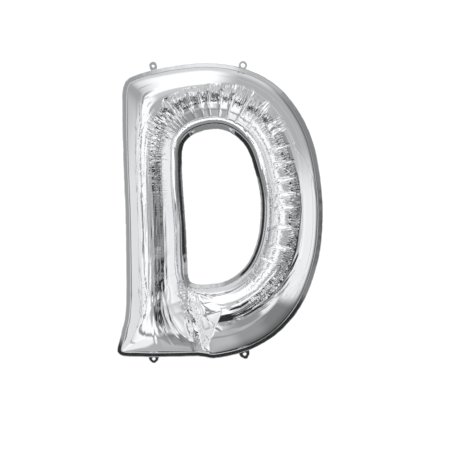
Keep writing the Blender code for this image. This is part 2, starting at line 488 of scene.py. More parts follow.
STEM_FOLDS = (
    Fold(((-201, 168), (-199, 31), (-196, -106), (-194, -242), (-193, -324)), 2.2, 8),
    Fold(((-187, 72), (-182, -51), (-180, -133), (-179, -242), (-177, -338)), 2.6, -9),
    Fold(((-176, 31), (-172, -78), (-170, -215), (-168, -324)), 1.8, -14),
    Fold(((-164, 58), (-160, -78), (-158, -215), (-156, -297)), 1.8, 7),
    Fold(((-154, 31), (-151, -106), (-149, -242)), 1.8, 8),
    Fold(((-221, 17), (-217, -106), (-214, -242), (-213, -338)), 1.7, -10),
    Fold(((-209, 140), (-206, 4), (-203, -133)), 1.6, 9),
    Fold(((-228, 168), (-225, 45)), 1.5, -10),
    Fold(((-121, 168), (-118, 31), (-115, -106), (-112, -188)), 1.6, 10),
)
STEM_FOOT_FOLDS = (
    Fold(((-169, -201), (-164, -270), (-147, -338), (-120, -379)), 2.2, -12),
    Fold(((-158, -215), (-147, -283), (-126, -333), (-93, -371)), 2.2, 10),
    Fold(((-147, -242), (-134, -297), (-109, -338), (-82, -365)), 2.0, -10),
    Fold(((-183, -242), (-180, -311), (-172, -371)), 2.4, -12),
    Fold(((-197, -242), (-199, -311), (-202, -365)), 2.0, 8),
    Fold(((-227, -242), (-235, -311), (-251, -365)), 1.8, 8),
    Fold(((-242, -215), (-249, -297), (-262, -365)), 1.6, -8),
)
BOWL_FOOT_FOLDS = (
    Fold(((6, -273), (55, -251), (104, -218), (142, -177), (170, -139)), 2.6, 16),
    Fold(((17, -289), (66, -267), (115, -234), (156, -191), (183, -150)), 2.4, -16),
    Fold(((33, -297), (77, -275), (120, -245), (153, -215)), 2.2, 14),
    Fold(((49, -300), (88, -281), (131, -251)), 2.0, -18),
    Fold(((-41, -251), (6, -262), (55, -253), (99, -226)), 3.2, 8),
    Fold(((71, -289), (115, -262), (153, -234)), 1.8, -16),
    Fold(((131, -232), (164, -199), (197, -155), (219, -106)), 2.4, 12),
    Fold(((142, -240), (178, -204), (211, -160), (230, -122)), 2.0, -14),
    Fold(((175, -234), (205, -196), (227, -155)), 2.0, 10),
    Fold(((192, -237), (219, -196), (238, -155)), 1.6, -12),
    Fold(((22, -303), (44, -294), (66, -286)), 1.6, -20),
)
DRAPE_FOLDS = (
    Fold(((-74, -201), (-65, -223), (-46, -251), (-19, -267)), 2.2, 11),
    Fold(((-68, -196), (-46, -221), (-16, -240), (22, -248)), 2.6, -8),
    Fold(((-79, -212), (-71, -242), (-57, -275), (-46, -303)), 2.0, 20),
    Fold(((-65, -215), (-57, -251), (-41, -283)), 2.0, -20),
    Fold(((-63, -204), (-38, -214), (-8, -218), (28, -215)), 1.6, 9),
    Fold(((-57, -292), (-52, -330), (-46, -365)), 1.8, -18),
    Fold(((-41, -286), (-19, -314), (6, -327)), 2.4, 14),
    Fold(((-65, -242), (-63, -297), (-54, -352)), 1.8, 22),
)
RIM_FOLDS = (
    Fold(((190, 190), (200, 168), (208, 146), (222, 99), (225, 58), (227, 17), (227, -37), (218, -95)), 1.4, -5, 3.0),
    Fold(((191, 197), (230, 150), (256, 90), (266, 30)), 2.2, 6),
)
CORNER_FOLDS = (
    Fold(((-202, 301), (-188, 311)), 1.8, -18),
    Fold(((-214, 296), (-216, 271), (-216, 236)), 1.8, -16),
    Fold(((-191, 288), (-195, 274), (-199, 263)), 1.6, -16),
)


@dataclass(frozen=True)
class Gather:
    """One crease square to the counter's weld, or one facet there that leans along the weld.

    All lengths are in millimetres: the place along the weld, the distances from it where the gather
    ends, and half its width. A facet leans by the given angle, in degrees, and narrows outwards. A
    gather without a lean is a sharp crease.
    """

    beside: float
    inner: float
    outer: float
    half_width: float
    lean: float = 0.0


GATHERS = (
    Gather(1228, 60, 124, 3.0, -14),
    Gather(1243, 70, 128, 3.0, -14),
    Gather(1259, 96, 134, 4.2, -22),
    Gather(1277, 98, 136, 4.2, -22),
    Gather(1293, 110, 138, 4.4, -22),
    Gather(1305, 118, 150, 4.4, -22),
    Gather(1322, 40, 118, 1.2),
    Gather(1334, 40, 112, 1.2),
    Gather(1345, 42, 110, 1.2),
    Gather(1357, 42, 158, 1.9),
    Gather(1364, 60, 110, 1.1),
    Gather(1374, 62, 112, 1.1),
    Gather(1401, 60, 142, 2.0),
    Gather(1427, 56, 136, 2.0),
    Gather(1448, 54, 136, 2.0),
    Gather(23, 52, 142, 2.2),
    Gather(49, 48, 138, 2.4),
    Gather(82, 46, 170, 2.0),
    Gather(119, 42, 162, 1.7),
    Gather(125, 42, 162, 1.7),
    Gather(121, 126, 180, 8.0, 22),
    Gather(160, 108, 162, 7.2, 22),
    Gather(177, 106, 158, 7.8, 22),
    Gather(217, 84, 146, 6.1, 22),
    Gather(259, 80, 146, 6.1, 22),
    Gather(302, 70, 138, 7.2, 22),
    Gather(342, 64, 136, 8.1, 22),
    Gather(375, 62, 134, 8.1, 22),
    Gather(429, 62, 124, 8.0, 22),
    Gather(484, 60, 132, 6.7, 22),
    Gather(528, 34, 112, 7.2, 22),
    Gather(556, 30, 80, 1.6),
    Gather(580, 26, 84, 1.6),
    Gather(604, 24, 80, 1.4),
)


@dataclass
class Wrinkles:
    """Heights of the film's wrinkles over a panel's grid, in metres, outwards positive.

    Gathered film keeps its ridges on the blown form and only its valleys sink, so pleats are made
    of valleys. Places beside the counter and from its weld are those of LetterForm.gather_places.
    """

    form: LetterForm
    seed: int
    pleats_begin: tuple[tuple[float, float], ...] = (
        (0.0, 104),
        (1.1, 100),
        (1.6, 78),
        (2.2, 34),
        (9.0, 34),
        (21.0, 34),
        (22.3, 60),
        (22.8, 98),
        (24.0, 104),
    )
    pleats_end: tuple[tuple[float, float], ...] = (
        (0.0, 152),
        (0.8, 158),
        (1.45, 167),
        (1.55, 156),
        (2.3, 158),
        (3.2, 134),
        (4.0, 132),
        (4.6, 139),
        (5.3, 141),
        (6.5, 138),
        (8.8, 132),
        (21.0, 134),
        (22.4, 154),
        (24.0, 152),
    )
    along: Array = field(init=False)
    across: Array = field(init=False)

    def __post_init__(self) -> None:
        """Measure the film: metres along the tube and metres across it from the outer weld."""
        form = self.form
        surface = np.concatenate([form.plan, form.depth[..., None]], axis=-1)
        step = np.linalg.norm(np.diff(surface, axis=1), axis=-1)
        self.across = np.concatenate([np.zeros((form.columns, 1)), np.cumsum(step, axis=1)], axis=1)
        along = np.arange(form.columns) * form.length / form.columns
        self.along = np.repeat(along[:, None], form.rows, axis=1)

    def beside_counter(self, kind: Any, size_along: float, size_across: float, seed: int, warp: float = 0.0) -> Array:
        """Noise that follows the gathers, with cells of a real size.

        Args:
            kind: soft_noise, creased_noise or cushions.
            size_along: Cell size along the counter's weld in metres.
            size_across: Cell size across the film in metres.
            seed: Added to the panel's own seed.
            warp: How far the cells are pulled about, in cells.

        Returns:
            Heights from -1 to 1, or from 0 to 1 for cushions.
        """
        form = self.form
        return self.noise(form.beside, form.from_counter, form.beside_length, kind, size_along, size_across, seed, warp)

    def beside_outline(self, kind: Any, size_along: float, size_across: float, seed: int) -> Array:
        """Noise that follows the columns of the grid, from the outer weld inwards."""
        return self.noise(self.along, self.across, self.form.length, kind, size_along, size_across, seed, 0.0)

    def noise(
        self,
        along: Array,
        across: Array,
        length: float,
        kind: Any,
        size_along: float,
        size_across: float,
        seed: int,
        warp: float,
    ) -> Array:
        """Noise on given places, whose cells are pulled about by a coarser smooth noise."""
        cells = max(3, round(length / size_along))
        a = along / length * cells
        b = across / size_across
        if warp:
            third = max(3, round(cells / 2.3))
            pull = soft_noise(a * third / cells, b / 2.3, third, self.seed + seed + 500)
            push = soft_noise(a * third / cells, b / 2.3 + 0.5, third, self.seed + seed + 900)
            a, b = a + warp * pull, np.maximum(b + warp * push, 0)
        return kind(a, b, cells, self.seed + seed)

    def stations_between(self, first: float, last: float, soft: float) -> Array:
        """One along the tube from station first to last, which may pass the start of the loop."""
        count = len(self.form.stations)
        middle, half = (first + last) / 2, (last - first) / 2
        away = np.abs((self.form.station - middle + count / 2) % count - count / 2)
        return (1 - smooth_step(half, half + soft, away))[:, None]

    def in_plan(self, kind: Any, size: float, seed: int) -> Array:
        """Noise with square cells of a real size, laid flat on the seam plane."""
        place = (self.form.plan + (0.5, 0.6)) / size
        return kind(place[..., 0], place[..., 1], math.ceil(1.2 / size), self.seed + seed)

    def near_line(self, start: tuple[float, float], end: tuple[float, float], core: Array, reach: Array) -> Array:
        """One within core of a straight line in plan, falling to zero at reach; points in mm."""
        a, b = np.array(start) * MM, np.array(end) * MM
        t = np.clip(((self.form.plan - a) @ (b - a)) / ((b - a) @ (b - a)), 0, 1)
        away = np.linalg.norm(self.form.plan - (a + t[..., None] * (b - a)), axis=-1)
        return 1 - smooth_step(core, reach, away)

    def pleated_zone(self) -> Array:
        """Where the bowl's inner half is pleated: from just outside the crown to the counter.

        The film's outer half is held taut by the long outer weld, and the inner half has to fit a
        shorter way round, so it gathers. Next to the counter's own weld it is taut again.
        """
        round_bowl = self.stations_between(21.0 - 24, 8.8, 0.8)
        ragged = 2.5 * MM * self.beside_counter(soft_noise, 18 * MM, 400 * MM, 3)
        crown = np.interp(self.form.station, *zip(*self.pleats_end))[:, None] * MM + ragged
        teeth = 2.5 * MM * self.beside_counter(creased_noise, 5 * MM, 400 * MM, 4)
        place = self.form.from_counter
        begin = np.interp(self.form.station, *zip(*self.pleats_begin))[:, None] * MM
        inner = smooth_step(0.0, 5 * MM, place - begin - teeth)
        return round_bowl * inner * (1 - smooth_step(-3 * MM, 0.0, place - crown))

    def stem_zone(self) -> Array:
        """Where the stem is streaked along its length: from the crown to near the outer weld."""
        return self.stations_between(15.6, 21.4, 0.7) * band(92 * MM, 176 * MM, 9 * MM, self.form.from_counter)

    def ladder_zone(self) -> Array:
        """Where the stem's crown is finely cross-wrinkled: its upper half."""
        return self.stations_between(18.9, 21.6, 1.1) * band(78 * MM, 152 * MM, 12 * MM, self.form.from_counter)

    def lower_fold_zone(self) -> Array:
        """Where long folds run along the crown of the bowl's lower right."""
        return self.stations_between(7.2, 10.2, 0.8) * band(112 * MM, 168 * MM, 16 * MM, self.form.from_counter)

    def junction_zone(self) -> Array:
        """The crumpled line from the counter's lower left corner down to the notch."""
        ragged = 4 * MM * self.in_plan(creased_noise, 12 * MM, 33)
        return self.near_line((-96, -208), (-47, -398), 16 * MM + ragged, 24 * MM + ragged)

    def gathers(self) -> tuple[Array, Array]:
        """The long creases and tilted facets across the tube that the photograph shows.

        Returns:
            Their heights in metres, and one on the facets, whose film is smooth.
        """
        form = self.form
        whole = form.beside_length
        wiggle = 1.0 * MM * self.beside_counter(soft_noise, 26 * MM, 16 * MM, 41)
        wiggle = wiggle + 0.5 * MM * self.beside_counter(creased_noise, 9 * MM, 7 * MM, 42)
        vary = 1 + 0.35 * self.beside_counter(creased_noise, 30 * MM, 9 * MM, 43)
        total, facets = np.zeros_like(form.from_counter), np.zeros_like(form.from_counter)
        for gather in GATHERS:
            away = (form.beside + wiggle - gather.beside * MM + whole / 2) % whole - whole / 2
            share = (form.from_counter / MM - gather.inner) / (gather.outer - gather.inner)
            shown = smooth_step(0.0, 0.10, share) * (1 - smooth_step(0.86, 1.0, share)) * vary
            if gather.lean == 0:
                total -= gather.half_width * MM * np.exp(-np.abs(away) / (gather.half_width * 1.25 * MM)) * shown
                continue
            width = gather.half_width * MM * (1 - 0.75 * np.clip(share, 0, 1))
            u = away / width
            profile = np.where(np.abs(u) < 1, u, np.sign(u) * np.maximum(1 - (np.abs(u) - 1) / 0.5, 0))
            total += math.tan(math.radians(gather.lean)) * width * profile * shown
            facets = np.maximum(facets, np.clip(2 * (1.2 - np.abs(u)), 0, 1) * np.clip(shown, 0, 1))
        return total, facets

    def sections(self) -> Array:
        """Lengths of film between neighbouring creases, each standing off in its own way."""
        form = self.form
        places = np.sort([gather.beside for gather in GATHERS]) * MM
        section = np.searchsorted(places, form.beside)
        rng = np.random.default_rng(self.seed + 15)
        rows = form.from_counter / (26 * MM)
        values = rng.uniform(-1, 1, (len(places) + 1, int(rows.max()) + 2))
        row = rows.astype(int)
        t = smooth_step(0.0, 1.0, rows - row)
        stand_off = values[section, row] * (1 - t) + values[section, row + 1] * t
        pillow = self.beside_counter(cushions, 15 * MM, 55 * MM, 16, warp=0.25) - 1
        return 0.6 * MM * stand_off + 0.25 * MM * pillow

    def pleats(self) -> Array:
        """Small cushions, the taller ones near the crown, as film shortened along it gathers."""
        square = self.beside_counter(cushions, 7.5 * MM, 6.5 * MM, 13, warp=0.5) - 1
        slim = self.beside_counter(cushions, 6 * MM, 24 * MM, 11, warp=0.4) - 1
        tall = smooth_step(66 * MM, 92 * MM, self.form.from_counter)
        return (0.14 + 0.14 * tall) * MM * square + 0.30 * MM * slim

    def streaks(self) -> Array:
        """Faint unevenness along the stem, between its measured folds."""
        wide = self.beside_counter(cushions, 260 * MM, 17 * MM, 21, warp=0.08) - 1
        narrow = self.beside_counter(cushions, 150 * MM, 7 * MM, 22, warp=0.1) - 1
        return 0.45 * MM * wide + 0.26 * MM * narrow

    def ladder(self) -> Array:
        """Short rungs across the stem's crown."""
        return 0.22 * MM * (self.beside_counter(cushions, 5.5 * MM, 9 * MM, 23, warp=0.4) - 1)

    def crumple(self) -> Array:
        """Irregular facets of two sizes, the same both ways, as film pushed in from all sides."""
        coarse = self.in_plan(creased_noise, 15 * MM, 31)
        fine = self.in_plan(cushions, 7.5 * MM, 32) - 1
        return 2.4 * MM * coarse + 1.5 * MM * fine

    def folds(self) -> Array:
        """The single folds that the photograph shows, each strayed a little from its drawn path."""
        wander = 0.6 * MM * self.in_plan(soft_noise, 30 * MM, 71) + 0.25 * MM * self.in_plan(creased_noise, 8 * MM, 72)
        every = STEM_FOLDS + STEM_FOOT_FOLDS + BOWL_FOOT_FOLDS + DRAPE_FOLDS + RIM_FOLDS + CORNER_FOLDS
        total = np.zeros_like(self.along)
        for fold in every:
            total += fold.height(self.form.plan, wander)
        return total

    def swell(self) -> Array:
        """Slow unevenness that keeps the smooth film from looking turned on a lathe."""
        slow = self.beside_outline(soft_noise, 150 * MM, 90 * MM, 51)
        return 0.7 * MM * slow + 0.2 * MM * self.beside_outline(soft_noise, 60 * MM, 45 * MM, 52)

    def seam_puckers(self) -> Array:
        """Short dimples square to the outer weld, and finer ones round the counter's upper half."""
        ripple = self.beside_outline(cushions, 9 * MM, 300 * MM, 61) - 1
        fine = self.beside_counter(cushions, 6.5 * MM, 40 * MM, 62, warp=0.5) - 1
        upper = 1 - self.stations_between(4.5, 21.0, 1.5)
        ring = upper * np.exp(-(((self.form.from_counter / MM - 44) / 11) ** 2))
        return 0.5 * MM * ripple * np.exp(-self.across / (6 * MM)) + 0.45 * MM * fine * ring

    def height(self) -> Array:
        """All wrinkles together, faded out at the welds so that the panels still meet there."""
        junction = self.junction_zone()
        total = self.swell() + self.seam_puckers() + self.gathers()[0] + self.folds()
        total += self.pleated_zone() * (self.pleats() + self.sections())
        total += self.stem_zone() * self.streaks() + self.ladder_zone() * self.ladder()
        total += 0.7 * self.lower_fold_zone() * self.streaks()
        total = total * (1 - 0.6 * junction) + junction * self.crumple()
        weld = np.minimum(self.across, self.across[:, -1:] - self.across)
        return total * smooth_step(0.0, 4 * MM, weld)

    def crinkled(self) -> Array:
        """How tall the film's finest crinkles are, for its material; one in the pleats."""
        stem = np.maximum(0.8 * self.ladder_zone(), 0.10 * self.stem_zone())
        smooth = 1 - 0.9 * self.gathers()[1]
        return np.maximum.reduce([self.pleated_zone() * smooth, stem, 0.5 * self.junction_zone()])

    def film_place(self) -> Array:
        """The gathered film laid on a round sleeve, so that a pattern closes where the loop does.

        Returns:
            Points whose distance along the sleeve is that from the counter's weld, and whose way
            round is that beside it, both in true metres.
        """
        form = self.form
        turn = form.beside / form.beside_length * 2 * math.pi
        radius = form.beside_length / (2 * math.pi)
        return np.stack([radius * np.cos(turn), radius * np.sin(turn), form.from_counter], axis=-1)


@dataclass
class FilmPanel:
    """One half of the envelope, blown and wrinkled."""

    form: LetterForm
    side: Side
    name: str
    node: str
    seed: int

    def build(self) -> bpy.types.Object:
        """Make the panel's mesh: plan and depth, moved along its normal by the wrinkles."""
        form, sign = self.form, self.side.value
        points = np.stack([form.plan[..., 0], sign * form.depth, form.plan[..., 1]], axis=-1)
        outwards = normals_of(points) * sign
        wrinkles = Wrinkles(form, self.seed)
        points = points + outwards * wrinkles.height()[..., None]
        quads = grid_quads(form.columns, form.rows, closed_rows=False, flip=self.side is Side.BACK)
        obj = put_mesh(self.name, points.reshape(-1, 3), quads)
        film = obj.data.attributes.new("film", "FLOAT_VECTOR", "POINT")
        film.data.foreach_set("vector", wrinkles.film_place().astype(np.float32).ravel())
        crinkled = obj.data.attributes.new("crinkled", "FLOAT", "POINT")
        crinkled.data.foreach_set("value", wrinkles.crinkled().astype(np.float32).ravel())
        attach(obj, "root")
        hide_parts(self.node)
        return obj


@dataclass
class WeldedSeam:
    """A flat weld, the two films together, rippled by the blown film that pulls on it."""

    form: LetterForm
    name: str
    node: str
    is_outer: bool
    seed: int
    rows: int = 8
    thickness: float = 0.5 * MM
    tuck: float = 1.5 * MM
    ripple: float = 0.10 * MM
    jag: float = 0.45 * MM
    outer_lean: tuple[tuple[float, float], ...] = (
        (0.0, 3.4),
        (0.8, 4.5),
        (1.6, 9.5),
        (3.0, 5.5),
        (7.4, 5.5),
        (8.3, -0.8),
        (15.2, -0.8),
        (16.2, 6.0),
        (21.2, 6.0),
        (22.2, 3.4),
        (24.0, 3.4),
    )
    counter_lean: tuple[tuple[float, float], ...] = (
        (0.0, 25.0),
        (1.2, 25.0),
        (1.7, 2.5),
        (4.0, 2.5),
        (4.9, 13.5),
        (8.6, 13.5),
        (9.6, 9.0),
        (13.0, 9.0),
        (14.0, 17.0),
        (17.6, 17.0),
        (18.4, 11.5),
        (19.6, 11.5),
        (20.3, 2.5),
        (22.5, 2.5),
        (23.1, 25.0),
        (24.0, 25.0),
    )
    counter_root: tuple[tuple[float, float], ...] = (
        (0.0, 25.0),
        (1.0, 25.0),
        (1.5, 2.5),
        (8.8, 2.5),
        (9.6, 9.0),
        (13.0, 9.0),
        (14.0, 17.0),
        (14.9, 17.0),
        (15.6, 2.5),
        (22.5, 2.5),
        (23.1, 25.0),
        (24.0, 25.0),
    )

    def slope(self, share: Array) -> Array:
        """How steeply the weld leans back at each column, and at each share of its width.

        The lean beside the tube and the one at the cut edge come from tables of (station, degrees),
        and the weld curls from the one to the other across the middle of its width.

        Args:
            share: Shares of the width, zero at the tube and one at the cut edge.

        Returns:
            The slope, columns by shares.
        """
        edge = self.outer_lean if self.is_outer else self.counter_lean
        root = self.outer_lean if self.is_outer else self.counter_root
        at_edge, at_root = (np.tan(np.radians(np.interp(self.form.station, *zip(*t))))[:, None] for t in (edge, root))
        return at_root + (at_edge - at_root) * smooth_step(0.60, 0.85, share)

    def build(self) -> bpy.types.Object:
        """Make the weld as a grid from just inside the tube's edge to the cut edge."""
        form = self.form
        cut = form.outline if self.is_outer else form.counter
        sign = 1 if self.is_outer else -1
        cells = round(form.length / (7 * MM))
        along = np.arange(form.columns) / form.columns * cells
        zero = np.zeros_like(along)
        jag = self.jag * creased_noise(along, zero, cells, self.seed)
        cut = moved_right(cut, jag)
        tube = moved_right(form.outline if self.is_outer else form.counter, sign * (form.seam_width + self.tuck))
        share = np.linspace(0, 1, self.rows)[None, :, None]
        plan = tube[:, None] * (1 - share) + cut[:, None] * share
        wave = creased_noise(along * 0.62, zero, round(cells * 0.62), self.seed + 1)
        wave = wave + 0.5 * creased_noise(along, zero + 0.5, cells, self.seed + 2)
        reach = np.linalg.norm(plan - plan[:, :1], axis=-1)
        halfway = (share[:, 1:, 0] + share[:, :-1, 0]) / 2
        lift = np.cumsum(np.diff(reach, axis=1) * self.slope(halfway), axis=1)
        lift = np.pad(lift, ((0, 0), (1, 0))) + self.ripple * wave[:, None] * share[..., 0] ** 1.3
        points = np.stack([plan[..., 0], lift, plan[..., 1]], axis=-1)
        quads = grid_quads(form.columns, self.rows, closed_rows=False, flip=self.is_outer)
        obj = put_mesh(self.name, points.reshape(-1, 3), quads)
        thicken(obj, self.thickness)
        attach(obj, "root")
        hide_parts(self.node)
        return obj


@dataclass
class HangingTab:
    """A tongue with a round tip and a punched hole, cut with the film and lapping onto the weld.

    Its sides run straight from the ends of its foot to where they touch the tip's circle. It leans
    back or forward about its foot, and may be turned about its own height.
    """

    form: LetterForm
    name: str
    foot_x: float
    hole_height: float
    hole_radius: float
    tip_height: float
    tip_radius: float
    half_foot: float
    lean: float
    turn: float = 0.0
    start: float = 2.2
    lap: float = 1.5
    thickness: float = 0.4 * MM
    columns: int = 96
    rows: int = 7

    def foot(self) -> tuple[Array, Array]:
        """The point of the cut edge that the tab stands on, and the way out from it, both (x, z)."""
        edge = self.form.outline
        side = (edge[:, 1] > 0) == ("top" in self.name)
        at = int(np.argmin(np.where(side, np.abs(edge[:, 0] - self.foot_x * MM), np.inf)))
        travel = travel_of(edge)[at]
        return edge[at], np.array([-travel[1], travel[0]])

    def rim(self) -> Array:
        """The tab's edge in millimetres, (along the weld, out from it), once round from the right."""
        away = math.hypot(self.half_foot, self.tip_height)
        touch = math.acos(self.tip_radius / away) - math.atan2(self.tip_height, self.half_foot)
        angle = np.linspace(touch, math.pi - touch, 60)
        tip = np.stack([np.cos(angle), np.sin(angle)], axis=1) * self.tip_radius + (0, self.tip_height)
        ends = [(self.half_foot, 0.0)], [(-self.half_foot, 0.0)]
        lapped = np.stack([np.linspace(-1, 1, 30) * self.half_foot, np.full(30, -self.lap)], axis=1)
        return np.concatenate([ends[0], tip, ends[1], lapped])

    def build(self) -> bpy.types.Object:
        """Make the tab as rings between its hole and its edge, both told by the angle at the hole."""
        rim = self.rim() - (0, self.hole_height)
        bearing = np.unwrap(np.arctan2(rim[:, 1], rim[:, 0]))
        angle = bearing[0] + np.arange(self.columns) / self.columns * 2 * math.pi
        reach = np.interp(angle, np.append(bearing, bearing[0] + 2 * math.pi), np.linalg.norm(np.vstack([rim, rim[:1]]), axis=1))
        share = np.linspace(0, 1, self.rows)[None]
        spread = self.hole_radius * (1 - share) + reach[:, None] * share
        beside, rise = spread * np.cos(angle)[:, None], spread * np.sin(angle)[:, None] + self.hole_height
        foot, outwards = self.foot()
        along = np.array([-outwards[1], outwards[0]]) * (-1 if outwards[1] > 0 else 1)
        turned, lean = beside * math.cos(self.turn), math.sin(self.lean)
        y = self.start + rise * lean + beside * math.sin(self.turn)
        plan = foot + (turned[..., None] * along + (rise * math.cos(self.lean))[..., None] * outwards) * MM
        points = np.stack([plan[..., 0], y * MM, plan[..., 1]], axis=-1)
        quads = grid_quads(self.columns, self.rows, closed_rows=False, flip=outwards[1] > 0)
        obj = put_mesh(self.name, points.reshape(-1, 3), quads)
        thicken(obj, self.thickness)
        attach(obj, "root")
        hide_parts(f"hanging_{self.name}")
        return obj


@dataclass
class FillingNeck:
    """The flat filling sleeve, folded straight back behind the lower weld, with its mouth open."""

    columns: int = 96
    rows: int = 60
    thickness: float = 0.5 * MM

    def build(self) -> bpy.types.Object:
        """Make the sleeve: a flattened round section carried back along Y and pressed at its root."""
        low, high = (np.array(corner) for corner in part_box("filling_neck"))
        middle, half = (low + high) / 2, (high - low) / 2
        angle = np.linspace(0, 2 * math.pi, self.columns, endpoint=False)[:, None]
        back = np.linspace(0, 1, self.rows)[None]
        fullness = 0.35 + 0.65 * smooth_step(0.0, 0.45, back) * (1 - 0.35 * smooth_step(0.75, 1.0, back))
        x = half[0] * np.sign(np.cos(angle)) * np.abs(np.cos(angle)) ** 0.55 * np.ones_like(back)
        z = half[2] * np.sign(np.sin(angle)) * np.abs(np.sin(angle)) ** 0.9 * fullness
        cells = 24
        fold = creased_noise(angle / (2 * math.pi) * cells + 0 * back, back * 5 + 0 * angle, cells, 77)
        z = z + 0.5 * MM * fold * smooth_step(0.02, 0.2, back)
        y = low[1] + (high[1] - low[1]) * back + 0 * angle
        points = np.stack([middle[0] + x, y, middle[2] + z], axis=-1)
        quads = grid_quads(self.columns, self.rows, closed_rows=False, flip=True)
        obj = put_mesh("filling_neck_film", points.reshape(-1, 3), quads)
        thicken(obj, self.thickness)
        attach(obj, "root")
        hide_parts("filling_neck")
        return obj


@dataclass
class ValveTongue:
    """The clear valve film's end, lying in the neck's mouth, two plies pressed flat."""

    columns: int = 14
    rows: int = 36
    thickness: float = 0.3 * MM

    def build(self) -> bpy.types.Object:
        """Make the tongue as a gently waved sheet inside the node's own box."""
        low, high = (np.array(corner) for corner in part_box("valve_film"))
        across, back = np.meshgrid(np.linspace(-1, 1, self.columns), np.linspace(0, 1, self.rows), indexing="ij")
        middle = (low + high) / 2
        half_width = (high[0] - low[0]) / 2 * (1 - 0.12 * smooth_step(0.9, 1.0, back))
        wave = 0.25 * MM * np.sin(2.4 * math.pi * back + across)
        points = np.stack([middle[0] + half_width * across, low[1] + (high[1] - low[1]) * back, middle[2] + wave], axis=-1)
        index = np.arange(self.columns * self.rows).reshape(self.columns, self.rows)
        corners = (index[:-1, :-1], index[1:, :-1], index[1:, 1:], index[:-1, 1:])
        obj = put_mesh("valve_tongue", points.reshape(-1, 3), np.stack(corners, axis=-1).reshape(-1, 4))
        thicken(obj, self.thickness)
        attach(obj, "root")
        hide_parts("valve_film")
        return obj


def add_node(tree: bpy.types.NodeTree, kind: str, settings: dict[str, Any] | None = None, **links: Any) -> Any:
    """Add a node, set its own properties, and fill or link its inputs.

    Args:
        tree: The node tree.
        kind: Blender's name of the node type.
        settings: The node's own properties, by name.
        **links: An input's name, with spaces as underscores or iN for the N-th input, and either
            an output socket to link or a value to set.

    Returns:
        The new node.
    """
    node = tree.nodes.new(kind)
    for name, value in (settings or {}).items():
        setattr(node, name, value)
    for name, value in links.items():
        key = int(name[1:]) if name[0] == "i" and name[1:].isdigit() else name.replace("_", " ")
        if isinstance(value, bpy.types.NodeSocket):
            tree.links.new(value, node.inputs[key])
        else:
            node.inputs[key].default_value = value
    return node


def fresh_material(name: str) -> tuple[bpy.types.Material, bpy.types.NodeTree, Any]:
    """Make a material with only an output and a Principled shader, and give its tree and shader."""
    material = bpy.data.materials.new(name)
    material.use_nodes = True
    tree = material.node_tree
    tree.nodes.clear()
    shader = add_node(tree, "ShaderNodeBsdfPrincipled")
    add_node(tree, "ShaderNodeOutputMaterial", Surface=shader.outputs["BSDF"])
    return material, tree, shader


